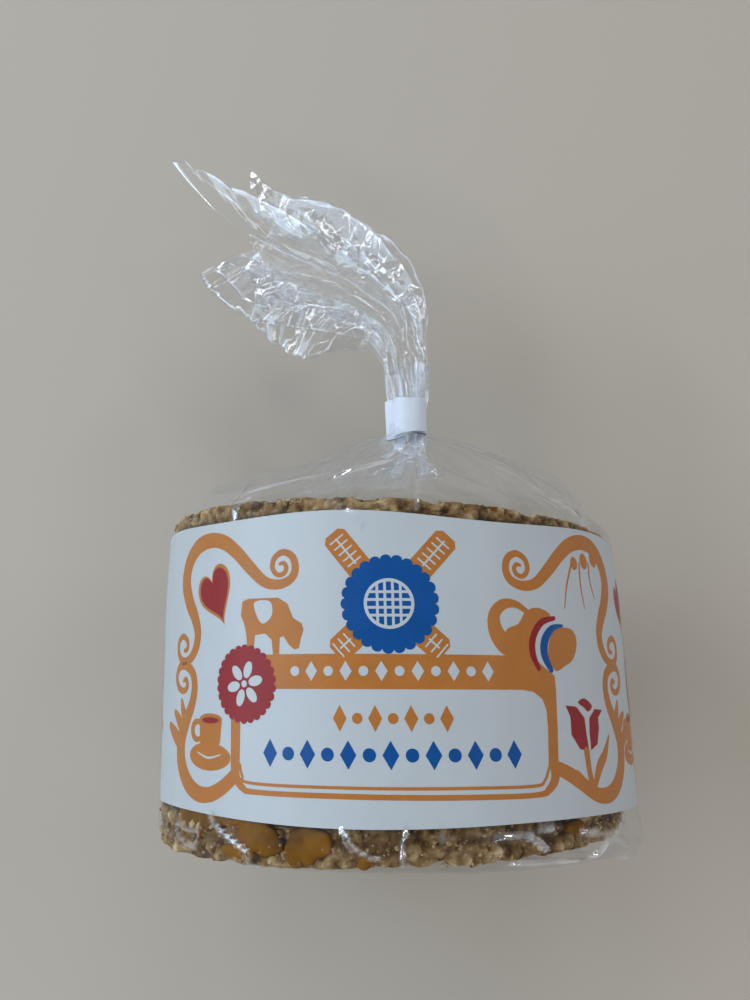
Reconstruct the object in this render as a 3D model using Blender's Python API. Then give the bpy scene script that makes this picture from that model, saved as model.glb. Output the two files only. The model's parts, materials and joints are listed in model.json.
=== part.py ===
"""A pack of stroopwafels: a stack in a clear film bag, lying on its side.

+Y runs along the stack towards the closed neck, +Z is up, and the origin is on the
table under the middle of the stack. The bag is one closed solid out to its film.
"""

import math

import bmesh
import bpy
from mathutils import Vector

MM = 0.001  # every size below is in millimetres

# The stack of wafels that fills the bag
WAFEL_DIAMETER = 90.0
WAFEL_THICKNESS = 7.0
WAFEL_COUNT = 8
STACK_HALF = WAFEL_COUNT * WAFEL_THICKNESS / 2

# The film lies close round the stack and is pressed flat where it rests
FILM_CLEARANCE = 0.5
BAG_RADIUS = WAFEL_DIAMETER / 2 + FILM_CLEARANCE
FLAT_HALF_ANGLE = math.radians(12)
AXIS_HEIGHT = BAG_RADIUS * math.cos(FLAT_HALF_ANGLE)
RING_POINTS = 60

# The paper band round the stack, in a shallow groove of the bag
GAP = 0.3
LABEL_THICKNESS = 0.4
LABEL_PROUD = 0.1
LABEL_WIDTH = 47.3
LABEL_MIDDLE_Y = 1.9
LABEL_OUTER_RADIUS = BAG_RADIUS + LABEL_PROUD
LABEL_INNER_RADIUS = LABEL_OUTER_RADIUS - LABEL_THICKNESS
GROOVE_RADIUS = LABEL_INNER_RADIUS - GAP
GROOVE_FLOOR = LABEL_THICKNESS + GAP
GROOVE_STEP = 0.6

# The gathered neck and the tape that closes it
NECK_X = 3.4
NECK_RADIUS = 3.3
NECK_START_Y = 51.5
NECK_END_Y = 60.1
TAPE_THICKNESS = 0.4
TAPE_LENGTH = 8.0
TAPE_FLAG = 1.6
TAPE_FLAG_THICKNESS = 0.9
TAPE_POINTS = 40

# The folded bottom: distance from the last wafel, half width, half height
BOTTOM_FOLD = (
    (6.2, 43.6, 1.4),
    (3.8, 44.2, 7.0),
    (2.8, 44.8, 28.0),
    (1.5, 45.2, 41.0),
)

# The shoulders: distance past the first wafel, reach to -X, to +X, up and down
SHOULDERS = (
    (2.0, 42.4, 41.2, 42.0),
    (5.5, 40.4, 39.8, 36.5),
    (9.6, 37.2, 37.4, 29.0),
    (11.4, 29.0, 35.4, 25.5),
    (13.5, 20.4, 32.0, 21.5),
    (17.5, 12.4, 24.4, 14.5),
    (21.5, 5.6, 15.6, 7.8),
)
PLEATS = 12
PLEAT_DEPTH = 0.09

# The loose tail: centre x, y, z, half width, half thickness
TAIL = (
    (3.4, NECK_START_Y, AXIS_HEIGHT, NECK_RADIUS, NECK_RADIUS),
    (3.4, NECK_END_Y, AXIS_HEIGHT, NECK_RADIUS, NECK_RADIUS),
    (2.6, 66.0, 44.4, 4.6, 3.7),
    (1.0, 73.0, 43.8, 6.8, 4.6),
    (-3.0, 81.0, 42.5, 10.5, 5.6),
    (-10.0, 88.5, 40.5, 15.0, 6.4),
    (-21.0, 97.0, 38.0, 17.0, 6.4),
    (-33.0, 106.5, 35.0, 15.0, 5.4),
    (-44.5, 115.0, 32.0, 12.0, 4.0),
    (-54.0, 121.5, 30.0, 8.5, 2.4),
)
TAIL_STEPS = 3
TAIL_FOLDS = 5
TAIL_FOLD_DEPTH = 0.16
TAIL_TWIST = math.radians(25)

UP = Vector((0, 0, 1))


def material(name, color, roughness, transmission=0.0):
    made = bpy.data.materials.new(name)
    made.use_nodes = True
    shader = made.node_tree.nodes["Principled BSDF"]
    shader.inputs["Base Color"].default_value = (*color, 1.0)
    shader.inputs["Roughness"].default_value = roughness
    shader.inputs["Metallic"].default_value = 0.0
    shader.inputs["Transmission Weight"].default_value = transmission
    return made


def ring_angles(count=RING_POINTS):
    return [2 * math.pi * i / count for i in range(count)]


def bag_ring(y, left, right, height, floor=0.0, middle_x=0.0, pleat=0.0):
    """A section across the stack's axis, with its own reach to each side."""
    ring = []
    for angle in ring_angles():
        fold = 1 + pleat * math.cos(PLEATS * angle)
        across = (right - middle_x) if math.cos(angle) > 0 else (left + middle_x)
        x = middle_x + across * fold * math.cos(angle)
        z = AXIS_HEIGHT + height * fold * math.sin(angle)
        ring.append(Vector((x, y, max(z, floor))))
    return ring


def body_rings():
    """Bottom fold, end, grooved body, first wafel's rim and shoulders, in order of y."""
    rings = []
    for distance, half_width, half_height in BOTTOM_FOLD:
        rings.append(bag_ring(-STACK_HALF - distance, half_width, half_width, half_height))

    groove_start = LABEL_MIDDLE_Y - LABEL_WIDTH / 2 - GAP
    groove_end = LABEL_MIDDLE_Y + LABEL_WIDTH / 2 + GAP
    for y, radius, floor in (
        (-STACK_HALF, BAG_RADIUS, 0.0),
        (groove_start - GROOVE_STEP, BAG_RADIUS, 0.0),
        (groove_start, GROOVE_RADIUS, GROOVE_FLOOR),
        (groove_end, GROOVE_RADIUS, GROOVE_FLOOR),
        (groove_end + GROOVE_STEP, BAG_RADIUS, 0.0),
        (STACK_HALF, BAG_RADIUS, 0.0),
    ):
        rings.append(bag_ring(y, radius, radius, radius, floor))

    for step, (distance, left, right, height) in enumerate(SHOULDERS, start=1):
        share = step / len(SHOULDERS)
        y = STACK_HALF + distance
        rings.append(
            bag_ring(y, left, right, height, 0.0, NECK_X * share, PLEAT_DEPTH * share)
        )
    return rings


def spline_row(rows, index, share):
    """A Catmull-Rom row between rows[index] and rows[index + 1]."""
    before = rows[max(index - 1, 0)]
    start, end = rows[index], rows[index + 1]
    after = rows[min(index + 2, len(rows) - 1)]
    return [
        0.5
        * (
            2 * b
            + (c - a) * share
            + (2 * a - 5 * b + 4 * c - d) * share**2
            + (3 * b - a - 3 * c + d) * share**3
        )
        for a, b, c, d in zip(before, start, end, after)
    ]


def tail_stations():
    """The neck's two plain ends, then a smooth run through the tail's rows."""
    stations = [list(TAIL[0])]
    for index in range(1, len(TAIL) - 1):
        for step in range(TAIL_STEPS):
            stations.append(spline_row(TAIL, index, step / TAIL_STEPS))
    stations.append(list(TAIL[-1]))
    return stations


def tail_rings():
    stations = tail_stations()
    centres = [Vector(station[:3]) for station in stations]
    rings = []
    for index, (x, y, z, half_width, half_thickness) in enumerate(stations):
        ahead = centres[min(index + 1, len(centres) - 1)]
        behind = centres[max(index - 1, 0)]
        along = (ahead - behind).normalized()
        if y <= NECK_END_Y:
            along = Vector((0, 1, 0))
        side = along.cross(UP).normalized()
        top = side.cross(along)
        grown = min(1.0, max(0.0, (half_width - NECK_RADIUS) / NECK_RADIUS))
        ring = []
        for angle in ring_angles():
            turn = TAIL_FOLDS * angle + TAIL_TWIST * index
            fold = 1 + TAIL_FOLD_DEPTH * grown * math.cos(turn)
            across = side * (half_width * fold * math.cos(angle))
            over = top * (half_thickness * fold * math.sin(angle))
            ring.append(Vector((x, y, z)) + across + over)
        rings.append(ring)
    return rings


def loft(name, rings):
    """A closed skin through rings of equal point count, with both ends capped."""
    mesh = bpy.data.meshes.new(name)
    shape = bmesh.new()
    loops = [[shape.verts.new(point * MM) for point in ring] for ring in rings]
    for lower, upper in zip(loops, loops[1:]):
        for i in range(len(lower)):
            j = (i + 1) % len(lower)
            shape.faces.new((lower[i], lower[j], upper[j], upper[i]))
    shape.faces.new(loops[0])
    shape.faces.new(loops[-1])
    bmesh.ops.recalc_face_normals(shape, faces=shape.faces)
    shape.to_mesh(mesh)
    shape.free()
    mesh.shade_smooth()
    mesh.set_sharp_from_angle(angle=math.radians(35))
    return bpy.data.objects.new(name, mesh)


def pressed_circle(radius, floor):
    """A circle about the stack's axis, cut flat at the height of the floor, as x and z."""
    points = []
    for angle in ring_angles():
        z = AXIS_HEIGHT + radius * math.sin(angle)
        points.append((radius * math.cos(angle), max(z, floor)))
    return points


def banded(name, outer, inner, length, middle_y):
    """A band along Y whose section is the outer outline less the inner one."""
    outline = bpy.data.curves.new(name, "CURVE")
    outline.dimensions = "2D"
    outline.fill_mode = "BOTH"
    outline.extrude = length / 2 * MM
    for points in (outer, inner):
        spline = outline.splines.new("POLY")
        spline.points.add(len(points) - 1)
        spline.use_cyclic_u = True
        for point, (x, z) in zip(spline.points, points):
            point.co = (x * MM, z * MM, 0, 1)
    band = bpy.data.objects.new(name, outline)
    band.rotation_euler.x = math.pi / 2
    band.location.y = middle_y * MM
    return band


def tape_outlines():
    """The tape's ring round the neck, with its two ends pinched into a flag at -X."""
    inner_radius = NECK_RADIUS + GAP
    outer_radius = inner_radius + TAPE_THICKNESS
    half_flag = TAPE_FLAG_THICKNESS / 2
    flag_angle = math.asin(half_flag / outer_radius)
    outer = []
    for i in range(TAPE_POINTS):
        share = i / (TAPE_POINTS - 1)
        angle = -math.pi + flag_angle + share * (2 * math.pi - 2 * flag_angle)
        outer.append((outer_radius * math.cos(angle), outer_radius * math.sin(angle)))
    outer.append((-outer_radius - TAPE_FLAG, half_flag))
    outer.append((-outer_radius - TAPE_FLAG, -half_flag))
    inner = [
        (inner_radius * math.cos(angle), inner_radius * math.sin(angle))
        for angle in ring_angles(TAPE_POINTS)
    ]
    place = lambda points: [(x + NECK_X, z + AXIS_HEIGHT) for x, z in points]
    return place(outer), place(inner)


def main():
    for old in list(bpy.data.objects):
        bpy.data.objects.remove(old, do_unlink=True)
    pack = bpy.data.collections.new("stroopwafel_pack")
    bpy.context.scene.collection.children.link(pack)

    bag = loft("film_bag", body_rings() + tail_rings())
    bag.data.materials.append(material("clear_film", (0.80, 0.85, 0.88), 0.12, 0.6))

    label = banded(
        "label",
        pressed_circle(LABEL_OUTER_RADIUS, 0.0),
        pressed_circle(LABEL_INNER_RADIUS, LABEL_THICKNESS),
        LABEL_WIDTH,
        LABEL_MIDDLE_Y,
    )
    label.data.materials.append(material("printed_paper", (0.70, 0.76, 0.82), 0.45))

    tape = banded(
        "closure_tape",
        *tape_outlines(),
        TAPE_LENGTH,
        (NECK_START_Y + NECK_END_Y) / 2,
    )
    tape.data.materials.append(material("white_tape", (0.82, 0.85, 0.88), 0.4))

    for made in (bag, label, tape):
        pack.objects.link(made)


main()
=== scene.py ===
import json
import math

import bpy
import bmesh
import numpy as np
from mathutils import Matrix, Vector, noise

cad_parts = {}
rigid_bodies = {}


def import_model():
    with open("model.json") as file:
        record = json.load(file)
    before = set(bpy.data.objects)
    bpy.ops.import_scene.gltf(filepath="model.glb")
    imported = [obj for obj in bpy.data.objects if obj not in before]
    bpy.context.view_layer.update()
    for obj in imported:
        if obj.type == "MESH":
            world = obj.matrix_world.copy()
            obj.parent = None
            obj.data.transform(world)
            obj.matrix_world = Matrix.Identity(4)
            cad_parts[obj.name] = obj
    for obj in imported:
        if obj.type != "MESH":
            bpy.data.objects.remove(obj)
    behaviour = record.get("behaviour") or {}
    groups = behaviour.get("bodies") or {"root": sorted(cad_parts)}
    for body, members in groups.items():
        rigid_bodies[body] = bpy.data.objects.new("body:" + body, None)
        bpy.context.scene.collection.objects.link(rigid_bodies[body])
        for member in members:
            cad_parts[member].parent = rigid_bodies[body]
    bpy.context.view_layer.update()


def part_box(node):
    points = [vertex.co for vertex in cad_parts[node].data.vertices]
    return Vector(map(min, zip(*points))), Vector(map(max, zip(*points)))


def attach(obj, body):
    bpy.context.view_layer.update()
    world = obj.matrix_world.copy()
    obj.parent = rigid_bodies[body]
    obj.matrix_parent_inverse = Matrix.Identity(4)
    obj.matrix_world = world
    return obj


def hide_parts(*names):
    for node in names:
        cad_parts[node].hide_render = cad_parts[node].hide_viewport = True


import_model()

mm = 0.001
scene = bpy.context.scene

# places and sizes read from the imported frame, in millimetres
labelLow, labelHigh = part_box("label")
tapeLow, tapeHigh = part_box("closure_tape")
packRadius = (labelHigh.x - labelLow.x) / 2 / mm
axisHeight = labelHigh.z / mm - packRadius
labelStart = labelLow.y / mm
labelEnd = labelHigh.y / mm
tapeStart = tapeLow.y / mm
neckX = tapeHigh.x / mm - (tapeHigh.z - tapeLow.z) / 2 / mm


def deselectAll():
    for o in bpy.data.objects:
        o.select_set(False)


def pick(o):
    deselectAll()
    o.select_set(True)
    bpy.context.view_layer.objects.active = o


def applyModifiers(o):
    pick(o)
    for modifier in list(o.modifiers):
        bpy.ops.object.modifier_apply(modifier=modifier.name)


def bakeTransform(o):
    pick(o)
    bpy.ops.object.transform_apply(location=True, rotation=True, scale=True)


def joinAll(objects, name):
    deselectAll()
    for o in objects:
        o.select_set(True)
    bpy.context.view_layer.objects.active = objects[0]
    if len(objects) > 1:
        bpy.ops.object.join()
    joined = bpy.context.view_layer.objects.active
    joined.name = name
    joined.data.name = name
    return joined


def smoothShade(o, angle=40):
    pick(o)
    bpy.ops.object.shade_smooth_by_angle(angle=math.radians(angle))


def getPoints(o):
    flat = np.zeros(len(o.data.vertices) * 3)
    o.data.vertices.foreach_get("co", flat)
    return flat.reshape(-1, 3)


def setPoints(o, points):
    o.data.vertices.foreach_set("co", np.asarray(points, float).ravel())
    o.data.update()


def setMask(o, name, values):
    attribute = o.data.attributes.new(name, "FLOAT", "POINT")
    attribute.data.foreach_set("value", np.asarray(values, np.float32))


def outwardNormals(o):
    pick(o)
    bpy.ops.object.mode_set(mode="EDIT")
    bpy.ops.mesh.select_all(action="SELECT")
    bpy.ops.mesh.normals_make_consistent(inside=False)
    bpy.ops.object.mode_set(mode="OBJECT")


def settle(o, node, material):     # a finished piece gets its material and its body, and the part node it stands in for is hidden
    o.data.materials.clear()
    o.data.materials.append(material)
    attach(o, "root")
    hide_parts(node)


def smoothStep(low, high, value):
    t = np.clip((value - low) / (high - low), 0, 1)     # low may be the larger one
    return t * t * (3 - 2 * t)


def latticeTable(seed, size=128):
    return np.random.default_rng(seed).random((size, size)) * 2 - 1


def softNoise(u, v, seed, wrap=128):     # rolling hills, one bump per unit, closing after wrap units of u
    table = latticeTable(seed)
    i, j = np.floor(u).astype(int), np.floor(v).astype(int)
    a, b = u - i, v - j
    a, b = a * a * (3 - 2 * a), b * b * (3 - 2 * b)
    i0, i1, j0, j1 = i % wrap, (i + 1) % wrap, j % 128, (j + 1) % 128
    low = table[i0, j0] * (1 - a) + table[i1, j0] * a
    high = table[i0, j1] * (1 - a) + table[i1, j1] * a
    return low * (1 - b) + high * b


def creaseNoise(u, v, seed, wrap=128):   # flat facets that meet in straight creases
    table = latticeTable(seed)
    flip = latticeTable(seed + 1) > 0
    i, j = np.floor(u).astype(int), np.floor(v).astype(int)
    a, b = u - i, v - j
    i0, i1, j0, j1 = i % wrap, (i + 1) % wrap, j % 128, (j + 1) % 128
    h00, h10, h01, h11 = table[i0, j0], table[i1, j0], table[i0, j1], table[i1, j1]
    rising = np.where(a > b, h00 + (h10 - h00) * a + (h11 - h10) * b,
                      h00 + (h11 - h01) * a + (h01 - h00) * b)
    c = 1 - a
    falling = np.where(c > b, h10 + (h00 - h10) * c + (h01 - h00) * b,
                       h10 + (h01 - h11) * c + (h11 - h10) * b)
    return np.where(flip[i0, j0], rising, falling)


def curveThrough(rows, steps):          # smooth rows between the given ones
    rows = np.asarray(rows, float)
    out = []
    for i in range(len(rows) - 1):
        p0, p1, p2 = rows[max(i - 1, 0)], rows[i], rows[i + 1]
        p3 = rows[min(i + 2, len(rows) - 1)]
        for t in np.arange(steps) / steps:
            out.append(0.5 * (2 * p1 + (p2 - p0) * t + (2 * p0 - 5 * p1 + 4 * p2 - p3) * t ** 2
                              + (3 * p1 - p0 - 3 * p2 + p3) * t ** 3))
    out.append(rows[-1])
    return np.array(out)


def evenRows(rows, count, lengthColumns):    # the same rows, spaced evenly along their length
    rows = np.asarray(rows, float)
    gaps = np.linalg.norm(np.diff(rows[:, lengthColumns], axis=0), axis=1)
    along = np.concatenate([[0], np.cumsum(gaps)])
    wanted = np.linspace(0, along[-1], count)
    return np.stack([np.interp(wanted, along, rows[:, k]) for k in range(rows.shape[1])], axis=1)


def newMaterial(name):
    material = bpy.data.materials.new(name)
    material.use_nodes = True
    tree = material.node_tree
    return material, tree, tree.nodes["Principled BSDF"], tree.nodes["Material Output"]


def addNode(tree, kind, **values):
    node = tree.nodes.new(kind)
    for key, value in values.items():
        if key in node.inputs:
            node.inputs[key].default_value = value
        else:
            setattr(node, key, value)
    return node


def addRamp(tree, stops):
    ramp = tree.nodes.new("ShaderNodeValToRGB")
    elements = ramp.color_ramp.elements
    while len(elements) < len(stops):
        elements.new(0.5)
    for element, (place, color) in zip(elements, stops):
        element.position = place
        element.color = (*color, 1)
    return ramp


def newGroup(name, inputs, outputs):       # a shader node group with its sockets, its tree and both end nodes
    group = bpy.data.node_groups.new(name, "ShaderNodeTree")
    for label, kind, value in inputs:
        socket = group.interface.new_socket(name=label, in_out="INPUT", socket_type=kind)
        socket.default_value = value
    for label, kind in outputs:
        group.interface.new_socket(name=label, in_out="OUTPUT", socket_type=kind)
    return group, group.nodes.new("NodeGroupInput"), group.nodes.new("NodeGroupOutput")


def makeGrainGroup():                      # fine grain as a height and as a bumped normal
    group, given, result = newGroup(
        "fineGrain",
        [("Scale", "NodeSocketFloat", 900.0), ("Detail", "NodeSocketFloat", 3.0),
         ("Coarseness", "NodeSocketFloat", 0.5), ("Strength", "NodeSocketFloat", 0.1),
         ("Distance", "NodeSocketFloat", 0.0003)],
        [("Height", "NodeSocketFloat"), ("Normal", "NodeSocketVector")])
    link = group.links.new
    place = addNode(group, "ShaderNodeTexCoord")
    grain = addNode(group, "ShaderNodeTexNoise")
    bump = addNode(group, "ShaderNodeBump")
    link(place.outputs["Object"], grain.inputs["Vector"])
    link(given.outputs["Scale"], grain.inputs["Scale"])
    link(given.outputs["Detail"], grain.inputs["Detail"])
    link(given.outputs["Coarseness"], grain.inputs["Roughness"])
    link(given.outputs["Strength"], bump.inputs["Strength"])
    link(given.outputs["Distance"], bump.inputs["Distance"])
    link(grain.outputs["Fac"], bump.inputs["Height"])
    link(grain.outputs["Fac"], result.inputs["Height"])
    link(bump.outputs["Normal"], result.inputs["Normal"])
    return group


def makeMottleGroup():                     # a cloudy drift between two colours
    group, given, result = newGroup(
        "cloudyColor",
        [("Scale", "NodeSocketFloat", 200.0), ("Darker", "NodeSocketColor", (0.4, 0.4, 0.4, 1)),
         ("Lighter", "NodeSocketColor", (0.6, 0.6, 0.6, 1))],
        [("Color", "NodeSocketColor"), ("Cloud", "NodeSocketFloat")])
    link = group.links.new
    place = addNode(group, "ShaderNodeTexCoord")
    cloud = addNode(group, "ShaderNodeTexNoise", Detail=4.0, Roughness=0.6)
    share = addNode(group, "ShaderNodeMapRange")
    share.inputs["From Min"].default_value = 0.3
    share.inputs["From Max"].default_value = 0.7
    color = addNode(group, "ShaderNodeMix", data_type="RGBA")
    link(place.outputs["Object"], cloud.inputs["Vector"])
    link(given.outputs["Scale"], cloud.inputs["Scale"])
    link(cloud.outputs["Fac"], share.inputs["Value"])
    link(share.outputs["Result"], color.inputs["Factor"])
    link(given.outputs["Darker"], color.inputs["A"])
    link(given.outputs["Lighter"], color.inputs["B"])
    link(color.outputs["Result"], result.inputs["Color"])
    link(share.outputs["Result"], result.inputs["Cloud"])
    return group


grainGroup = makeGrainGroup()
mottleGroup = makeMottleGroup()


def placeGroup(tree, group, **values):     # a group in a material, with its own values
    node = tree.nodes.new("ShaderNodeGroup")
    node.node_tree = group
    for label, value in values.items():
        node.inputs[label].default_value = value
    return node


crustLook = dict(dark=(0.075, 0.038, 0.011), brown=(0.225, 0.130, 0.048), tan=(0.375, 0.255, 0.120),
                 pale=(0.56, 0.45, 0.28), grainSize=1000, patchSize=190, bump=0.6, speckShare=0.22)


def makeCrust():
    material, tree, shader, _ = newMaterial("bakedCrust")
    link = tree.links.new
    place = addNode(tree, "ShaderNodeTexCoord")
    patch = addNode(tree, "ShaderNodeTexNoise", Scale=crustLook["patchSize"], Detail=5.0, Roughness=0.65)
    grain = placeGroup(tree, grainGroup, Scale=crustLook["grainSize"], Detail=6.0, Coarseness=0.75,
                       Strength=crustLook["bump"], Distance=0.0006)
    flecks = addNode(tree, "ShaderNodeTexVoronoi", Scale=crustLook["grainSize"] * 0.8)
    for texture in (patch, flecks):
        link(place.outputs["Object"], texture.inputs["Vector"])
    # the rise mask is crumb tone with painted shade: low crumb between lumps and the pressed squares come out
    # darker; the noise patches are uneven toasting
    height = addNode(tree, "ShaderNodeAttribute", attribute_name="rise")
    toastAndCreviceShade = addNode(tree, "ShaderNodeMath", operation="MULTIPLY_ADD")
    toastAndCreviceShade.inputs[1].default_value = 0.55
    link(patch.outputs["Fac"], toastAndCreviceShade.inputs[0])
    link(height.outputs["Fac"], toastAndCreviceShade.inputs[2])
    mixed = addNode(tree, "ShaderNodeMath", operation="MULTIPLY_ADD")
    mixed.inputs[1].default_value = 0.5
    link(grain.outputs["Height"], mixed.inputs[0])
    link(toastAndCreviceShade.outputs[0], mixed.inputs[2])
    ramp = addRamp(tree, [(0.56, crustLook["dark"]), (0.74, crustLook["brown"]),
                          (0.90, crustLook["tan"]), (1.0, crustLook["pale"])])
    link(mixed.outputs[0], ramp.inputs["Fac"])
    speck = addRamp(tree, [(0.0, (1, 1, 1)), (0.16, (1, 1, 1)), (0.24, (0, 0, 0))])
    link(flecks.outputs["Distance"], speck.inputs["Fac"])
    speckShare = addNode(tree, "ShaderNodeMath", operation="MULTIPLY")
    speckShare.inputs[1].default_value = crustLook["speckShare"]
    link(speck.outputs["Color"], speckShare.inputs[0])
    color = addNode(tree, "ShaderNodeMix", data_type="RGBA")
    link(speckShare.outputs[0], color.inputs["Factor"])
    link(ramp.outputs["Color"], color.inputs["A"])
    color.inputs["B"].default_value = (*crustLook["pale"], 1)
    syrup = addNode(tree, "ShaderNodeAttribute", attribute_name="syrup")
    stained = addNode(tree, "ShaderNodeMix", data_type="RGBA")
    stained.inputs["B"].default_value = (0.11, 0.05, 0.012, 1)
    link(syrup.outputs["Fac"], stained.inputs["Factor"])
    link(color.outputs["Result"], stained.inputs["A"])
    link(stained.outputs["Result"], shader.inputs["Base Color"])
    gloss = addNode(tree, "ShaderNodeMapRange")
    gloss.inputs["To Min"].default_value = 0.88
    gloss.inputs["To Max"].default_value = 0.28
    link(syrup.outputs["Fac"], gloss.inputs["Value"])
    link(gloss.outputs["Result"], shader.inputs["Roughness"])
    link(grain.outputs["Normal"], shader.inputs["Normal"])
    shader.inputs["Specular IOR Level"].default_value = 0.25
    return material


syrupLook = dict(darker=(0.088, 0.033, 0.0003), lighter=(0.262, 0.108, 0.0007), cloudSize=150, specular=0.06)


def makeSyrup():
    material, tree, shader, _ = newMaterial("amberSyrup")
    link = tree.links.new
    cloud = placeGroup(tree, mottleGroup, Scale=syrupLook["cloudSize"], Darker=(*syrupLook["darker"], 1),
                       Lighter=(*syrupLook["lighter"], 1))
    grain = placeGroup(tree, grainGroup, Strength=0.15)
    rough = addNode(tree, "ShaderNodeMapRange")
    rough.inputs["To Min"].default_value = 0.30
    rough.inputs["To Max"].default_value = 0.50
    link(cloud.outputs["Color"], shader.inputs["Base Color"])
    link(cloud.outputs["Cloud"], rough.inputs["Value"])
    link(rough.outputs["Result"], shader.inputs["Roughness"])
    link(grain.outputs["Normal"], shader.inputs["Normal"])
    shader.inputs["Specular IOR Level"].default_value = syrupLook["specular"]
    return material


def makePrinted(name, color, shift=0.06, specular=0.5):     # coated paper, bare or under a flat ink
    material, tree, shader, _ = newMaterial(name)
    link = tree.links.new
    darker = tuple(c * (1 - shift) for c in color)
    lighter = tuple(min(1, c * (1 + shift)) for c in color)
    mottle = placeGroup(tree, mottleGroup, Scale=220.0, Darker=(*darker, 1), Lighter=(*lighter, 1))
    fibre = placeGroup(tree, grainGroup, Scale=1500.0, Strength=0.08, Distance=0.0002)
    rough = addNode(tree, "ShaderNodeMapRange")
    rough.inputs["To Min"].default_value = 0.42
    rough.inputs["To Max"].default_value = 0.55
    link(mottle.outputs["Color"], shader.inputs["Base Color"])
    link(mottle.outputs["Cloud"], rough.inputs["Value"])
    link(rough.outputs["Result"], shader.inputs["Roughness"])
    link(fibre.outputs["Normal"], shader.inputs["Normal"])
    shader.inputs["Specular IOR Level"].default_value = specular
    return material


filmLook = dict(tint=(0.975, 0.98, 0.985), gloss=(0.92, 0.95, 1.0), metal=0.8, roughness=0.055,
                contactRoughness=0.24, veil=0.080, contactVeil=0.008, edge=0.52, contactEdge=0.18, power=2.6,
                foldGlintShare=0.50)


def makeFilm():                               # mirror-like gloss and a little haze over straight-through film
    look = filmLook
    material, tree, shader, output = newMaterial("clearFilm")
    link = tree.links.new
    shader.inputs["Metallic"].default_value = look["metal"]
    shader.inputs["Base Color"].default_value = (*look["gloss"], 1)
    place = addNode(tree, "ShaderNodeTexCoord")
    ripple = addNode(tree, "ShaderNodeTexNoise", Scale=260.0, Detail=3.0, Roughness=0.5)
    link(place.outputs["Object"], ripple.inputs["Vector"])
    touching = addNode(tree, "ShaderNodeAttribute", attribute_name="contact")
    rough = addNode(tree, "ShaderNodeMapRange")
    rough.inputs["To Min"].default_value = look["roughness"]
    rough.inputs["To Max"].default_value = look["contactRoughness"]
    link(touching.outputs["Fac"], rough.inputs["Value"])
    uneven = addNode(tree, "ShaderNodeMath", operation="MULTIPLY_ADD")
    uneven.inputs[1].default_value = 0.05
    link(ripple.outputs["Fac"], uneven.inputs[0])
    link(rough.outputs["Result"], uneven.inputs[2])
    link(uneven.outputs[0], shader.inputs["Roughness"])
    bump = addNode(tree, "ShaderNodeBump", Strength=0.25, Distance=0.0006)
    link(ripple.outputs["Fac"], bump.inputs["Height"])
    link(bump.outputs["Normal"], shader.inputs["Normal"])
    clear = addNode(tree, "ShaderNodeBsdfTransparent", Color=(*look["tint"], 1))
    facing = addNode(tree, "ShaderNodeLayerWeight", Blend=0.5)
    link(bump.outputs["Normal"], facing.inputs["Normal"])
    power = addNode(tree, "ShaderNodeMath", operation="POWER")
    power.inputs[1].default_value = look["power"]
    link(facing.outputs["Facing"], power.inputs[0])
    least = addNode(tree, "ShaderNodeMapRange")
    least.inputs["To Min"].default_value = look["veil"]
    least.inputs["To Max"].default_value = look["contactVeil"]
    link(touching.outputs["Fac"], least.inputs["Value"])
    most = addNode(tree, "ShaderNodeMapRange")
    most.inputs["To Min"].default_value = look["edge"]
    most.inputs["To Max"].default_value = look["contactEdge"]
    link(touching.outputs["Fac"], most.inputs["Value"])
    share = addNode(tree, "ShaderNodeMapRange")
    # the fold mask raises the gloss share along folds, edges and packed film: painted glints and sheen that
    # show whatever the lamps do
    folded = addNode(tree, "ShaderNodeAttribute", attribute_name="fold")
    for amount, socket in ((least, "To Min"), (most, "To Max")):
        raised = addNode(tree, "ShaderNodeMath", operation="MULTIPLY_ADD")
        raised.inputs[1].default_value = look["foldGlintShare"]
        link(folded.outputs["Fac"], raised.inputs[0])
        link(amount.outputs["Result"], raised.inputs[2])
        link(raised.outputs[0], share.inputs[socket])
    link(power.outputs[0], share.inputs["Value"])
    mix = addNode(tree, "ShaderNodeMixShader")
    link(share.outputs["Result"], mix.inputs[0])
    link(clear.outputs[0], mix.inputs[1])
    link(shader.outputs[0], mix.inputs[2])
    link(mix.outputs[0], output.inputs["Surface"])
    return material


crust = makeCrust()
syrupAmber = makeSyrup()
paperWhite = makePrinted("paperWhite", (0.475, 0.515, 0.540), 0.02, 0.3)
inkOrange = makePrinted("inkOrange", (0.425, 0.155, 0.030), specular=0.15)
inkBlue = makePrinted("inkBlue", (0.0015, 0.070, 0.265), specular=0.12)
inkRed = makePrinted("inkRed", (0.255, 0.012, 0.015), specular=0.12)
tapeWhite = makePrinted("tapeWhite", (0.68, 0.755, 0.85), 0.02)
film = makeFilm()
print("materials made")


wafelSize = dict(radius=44.3, thickness=6.9, bevel=0.8, grid=5.6, gridDepth=0.8)
crumbGrain = dict(lump=2.1, grit=0.95, patch=9.0, crumb=1.5, chip=5.0, chipDepth=0.24, deep=1.0, proud=0.28)
stackLow, stackHigh = -28.3, 28.2
wafelCount = 8


def leanOf(y):                          # the stack leans a little to one side, mm
    return -0.030 * (y + 2.0)


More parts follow.
